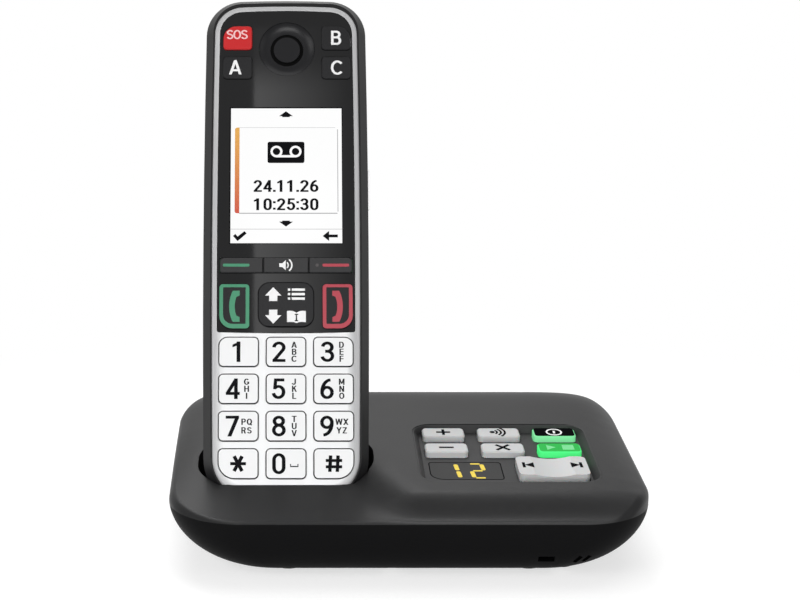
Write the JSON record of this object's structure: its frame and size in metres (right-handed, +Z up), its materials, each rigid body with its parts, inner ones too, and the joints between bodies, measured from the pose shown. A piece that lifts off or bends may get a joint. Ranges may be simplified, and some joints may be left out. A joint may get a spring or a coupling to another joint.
{
  "type": "cordless telephone with answering machine base",
  "caption": "Cordless telephone handset standing in the cradle of a low rounded answering machine base with a sunken key panel and a small digit display.",
  "frame": {"origin": "on the table, at the middle of the base's footprint", "axes": "+X to the right and +Y to the back, seen from the front, +Z up"},
  "size_m": [0.16, 0.1161, 0.182],
  "materials": {
    "base_plastic": "fine satin, moulded anthracite",
    "handset_plastic": "fine satin, moulded anthracite",
    "silver_plastic": "satin silver grey lacquer on plastic",
    "black_lens": "polished black-backed acrylic",
    "panel_plastic": "satin mid grey",
    "silver_key": "satin, printed figures",
    "black_key": "polished",
    "red_key": "polished",
    "green_key": "polished, lit from behind",
    "white_key": "translucent white",
    "smoked_window": "smoked, see-through",
    "lit_digits": "glowing yellow segments",
    "lit_screen": "backlit liquid-crystal screen",
    "rubber": "matt",
    "circuit_board": "green solder resist",
    "black_plastic": "fine matt",
    "steel": "plated",
    "loudspeaker": "coated magnet and frame",
    "battery": "sleeved cell cans"
  },
  "bodies": {
    "base": {"base_lower_shell": "base_plastic", "base_upper_shell": "base_plastic", "base_feet": "rubber", "base_screws": "steel", "key_panel": "panel_plastic", "display_window": "smoked_window", "digit_display": "lit_digits", "base_key_mat": "rubber", "key_board": "circuit_board", "base_circuit_board": "circuit_board", "power_socket": "black_plastic", "line_socket": "black_plastic", "base_speaker": "loudspeaker"},
    "handset": {"handset_back_shell": "handset_plastic", "handset_bezel": "silver_plastic", "handset_lens": "black_lens", "earpiece_grille": "black_plastic", "display_module": "lit_screen", "handset_key_mat": "rubber", "handset_circuit_board": "circuit_board", "earpiece_speaker": "loudspeaker", "handsfree_speaker": "loudspeaker", "battery_cells": "battery", "battery_contacts": "steel", "charging_pads": "steel", "handset_screws": "steel"},
    "key_0": {"key_0": "silver_key"},
    "key_1": {"key_1": "silver_key"},
    "key_2": {"key_2": "silver_key"},
    "key_3": {"key_3": "silver_key"},
    "key_4": {"key_4": "silver_key"},
    "key_5": {"key_5": "silver_key"},
    "key_6": {"key_6": "silver_key"},
    "key_7": {"key_7": "silver_key"},
    "key_8": {"key_8": "silver_key"},
    "key_9": {"key_9": "silver_key"},
    "key_star": {"key_star": "silver_key"},
    "key_hash": {"key_hash": "silver_key"},
    "sos_key": {"sos_key": "red_key"},
    "key_a": {"key_a": "black_key"},
    "key_b": {"key_b": "black_key"},
    "key_c": {"key_c": "black_key"},
    "talk_key": {"talk_key": "green_key"},
    "end_key": {"end_key": "red_key"},
    "left_soft_key": {"left_soft_key": "black_key"},
    "speaker_key": {"speaker_key": "black_key"},
    "right_soft_key": {"right_soft_key": "black_key"},
    "nav_key": {"nav_key": "black_key"},
    "side_key": {"side_key": "silver_plastic"},
    "battery_cover": {"battery_cover": "handset_plastic"},
    "volume_up_key": {"volume_up_key": "white_key"},
    "volume_down_key": {"volume_down_key": "white_key"},
    "paging_key": {"paging_key": "white_key"},
    "delete_key": {"delete_key": "white_key"},
    "power_key": {"power_key": "black_key"},
    "play_key": {"play_key": "green_key"},
    "skip_key": {"skip_key": "white_key"},
    "charging_contact_left": {"charging_contact_left": "steel"},
    "charging_contact_right": {"charging_contact_right": "steel"}
  },
  "joints": [
    {"name": "handset_lift", "type": "slide", "parent": "base", "child": "handset", "axis": [0, 0.3987, 0.9171], "range_m": [0, 0.08]},
    {"name": "key_0_press", "type": "slide", "parent": "handset", "child": "key_0", "axis": [0, 0.9171, -0.3987], "range_m": [0, 0.0004], "stiffness_N_per_m": 400, "springref_m": -0.0005},
    {"name": "key_1_press", "type": "slide", "parent": "handset", "child": "key_1", "axis": [0, 0.9171, -0.3987], "range_m": [0, 0.0004], "stiffness_N_per_m": 400, "springref_m": -0.0005},
    {"name": "key_2_press", "type": "slide", "parent": "handset", "child": "key_2", "axis": [0, 0.9171, -0.3987], "range_m": [0, 0.0004], "stiffness_N_per_m": 400, "springref_m": -0.0005},
    {"name": "key_3_press", "type": "slide", "parent": "handset", "child": "key_3", "axis": [0, 0.9171, -0.3987], "range_m": [0, 0.0004], "stiffness_N_per_m": 400, "springref_m": -0.0005},
    {"name": "key_4_press", "type": "slide", "parent": "handset", "child": "key_4", "axis": [0, 0.9171, -0.3987], "range_m": [0, 0.0004], "stiffness_N_per_m": 400, "springref_m": -0.0005},
    {"name": "key_5_press", "type": "slide", "parent": "handset", "child": "key_5", "axis": [0, 0.9171, -0.3987], "range_m": [0, 0.0004], "stiffness_N_per_m": 400, "springref_m": -0.0005},
    {"name": "key_6_press", "type": "slide", "parent": "handset", "child": "key_6", "axis": [0, 0.9171, -0.3987], "range_m": [0, 0.0004], "stiffness_N_per_m": 400, "springref_m": -0.0005},
    {"name": "key_7_press", "type": "slide", "parent": "handset", "child": "key_7", "axis": [0, 0.9171, -0.3987], "range_m": [0, 0.0004], "stiffness_N_per_m": 400, "springref_m": -0.0005},
    {"name": "key_8_press", "type": "slide", "parent": "handset", "child": "key_8", "axis": [0, 0.9171, -0.3987], "range_m": [0, 0.0004], "stiffness_N_per_m": 400, "springref_m": -0.0005},
    {"name": "key_9_press", "type": "slide", "parent": "handset", "child": "key_9", "axis": [0, 0.9171, -0.3987], "range_m": [0, 0.0004], "stiffness_N_per_m": 400, "springref_m": -0.0005},
    {"name": "key_star_press", "type": "slide", "parent": "handset", "child": "key_star", "axis": [0, 0.9171, -0.3987], "range_m": [0, 0.0004], "stiffness_N_per_m": 400, "springref_m": -0.0005},
    {"name": "key_hash_press", "type": "slide", "parent": "handset", "child": "key_hash", "axis": [0, 0.9171, -0.3987], "range_m": [0, 0.0004], "stiffness_N_per_m": 400, "springref_m": -0.0005},
    {"name": "sos_key_press", "type": "slide", "parent": "handset", "child": "sos_key", "axis": [0, 0.9171, -0.3987], "range_m": [0, 0.0004], "stiffness_N_per_m": 400, "springref_m": -0.0005},
    {"name": "key_a_press", "type": "slide", "parent": "handset", "child": "key_a", "axis": [0, 0.9171, -0.3987], "range_m": [0, 0.0004], "stiffness_N_per_m": 400, "springref_m": -0.0005},
    {"name": "key_b_press", "type": "slide", "parent": "handset", "child": "key_b", "axis": [0, 0.9171, -0.3987], "range_m": [0, 0.0004], "stiffness_N_per_m": 400, "springref_m": -0.0005},
    {"name": "key_c_press", "type": "slide", "parent": "handset", "child": "key_c", "axis": [0, 0.9171, -0.3987], "range_m": [0, 0.0004], "stiffness_N_per_m": 400, "springref_m": -0.0005},
    {"name": "talk_key_press", "type": "slide", "parent": "handset", "child": "talk_key", "axis": [0, 0.9171, -0.3987], "range_m": [0, 0.0004], "stiffness_N_per_m": 400, "springref_m": -0.0005},
    {"name": "end_key_press", "type": "slide", "parent": "handset", "child": "end_key", "axis": [0, 0.9171, -0.3987], "range_m": [0, 0.0004], "stiffness_N_per_m": 400, "springref_m": -0.0005},
    {"name": "left_soft_key_press", "type": "slide", "parent": "handset", "child": "left_soft_key", "axis": [0, 0.9171, -0.3987], "range_m": [0, 0.0004], "stiffness_N_per_m": 400, "springref_m": -0.0005},
    {"name": "speaker_key_press", "type": "slide", "parent": "handset", "child": "speaker_key", "axis": [0, 0.9171, -0.3987], "range_m": [0, 0.0004], "stiffness_N_per_m": 400, "springref_m": -0.0005},
    {"name": "right_soft_key_press", "type": "slide", "parent": "handset", "child": "right_soft_key", "axis": [0, 0.9171, -0.3987], "range_m": [0, 0.0004], "stiffness_N_per_m": 400, "springref_m": -0.0005},
    {"name": "side_key_press", "type": "slide", "parent": "handset", "child": "side_key", "axis": [-1, 0, 0], "range_m": [0, 0.0004], "stiffness_N_per_m": 400, "springref_m": -0.0005},
    {"name": "nav_key_rock", "type": "hinge", "parent": "handset", "child": "nav_key", "pos_m": [-0.0409, -0.00584, 0.08164], "axis": [1, 0, 0], "range_deg": [-3, 3], "stiffness_Nm_per_rad": 0.05},
    {"name": "battery_cover_lift", "type": "slide", "parent": "handset", "child": "battery_cover", "axis": [0, 0.9171, -0.3987], "range_m": [0, 0.01]},
    {"name": "volume_up_key_press", "type": "slide", "parent": "base", "child": "volume_up_key", "axis": [0, 0.1045, -0.9945], "range_m": [0, 0.0006], "stiffness_N_per_m": 400, "springref_m": -0.0005},
    {"name": "volume_down_key_press", "type": "slide", "parent": "base", "child": "volume_down_key", "axis": [0, 0.1045, -0.9945], "range_m": [0, 0.0006], "stiffness_N_per_m": 400, "springref_m": -0.0005},
    {"name": "paging_key_press", "type": "slide", "parent": "base", "child": "paging_key", "axis": [0, 0.1045, -0.9945], "range_m": [0, 0.0006], "stiffness_N_per_m": 400, "springref_m": -0.0005},
    {"name": "delete_key_press", "type": "slide", "parent": "base", "child": "delete_key", "axis": [0, 0.1045, -0.9945], "range_m": [0, 0.0006], "stiffness_N_per_m": 400, "springref_m": -0.0005},
    {"name": "power_key_press", "type": "slide", "parent": "base", "child": "power_key", "axis": [0, 0.1045, -0.9945], "range_m": [0, 0.0006], "stiffness_N_per_m": 400, "springref_m": -0.0005},
    {"name": "play_key_press", "type": "slide", "parent": "base", "child": "play_key", "axis": [0, 0.1045, -0.9945], "range_m": [0, 0.0006], "stiffness_N_per_m": 400, "springref_m": -0.0005},
    {"name": "skip_key_rock", "type": "hinge", "parent": "base", "child": "skip_key", "pos_m": [0.0495, -0.02202, 0.02531], "axis": [0, 0.9945, 0.1045], "range_deg": [-3, 3], "stiffness_Nm_per_rad": 0.05},
    {"name": "charging_contact_left_press", "type": "slide", "parent": "base", "child": "charging_contact_left", "axis": [0, 0.3987, 0.9171], "range_m": [-0.001, 0], "stiffness_N_per_m": 400, "springref_m": 0.0005},
    {"name": "charging_contact_right_press", "type": "slide", "parent": "base", "child": "charging_contact_right", "axis": [0, 0.3987, 0.9171], "range_m": [-0.001, 0], "stiffness_N_per_m": 400, "springref_m": 0.0005}
  ]
}
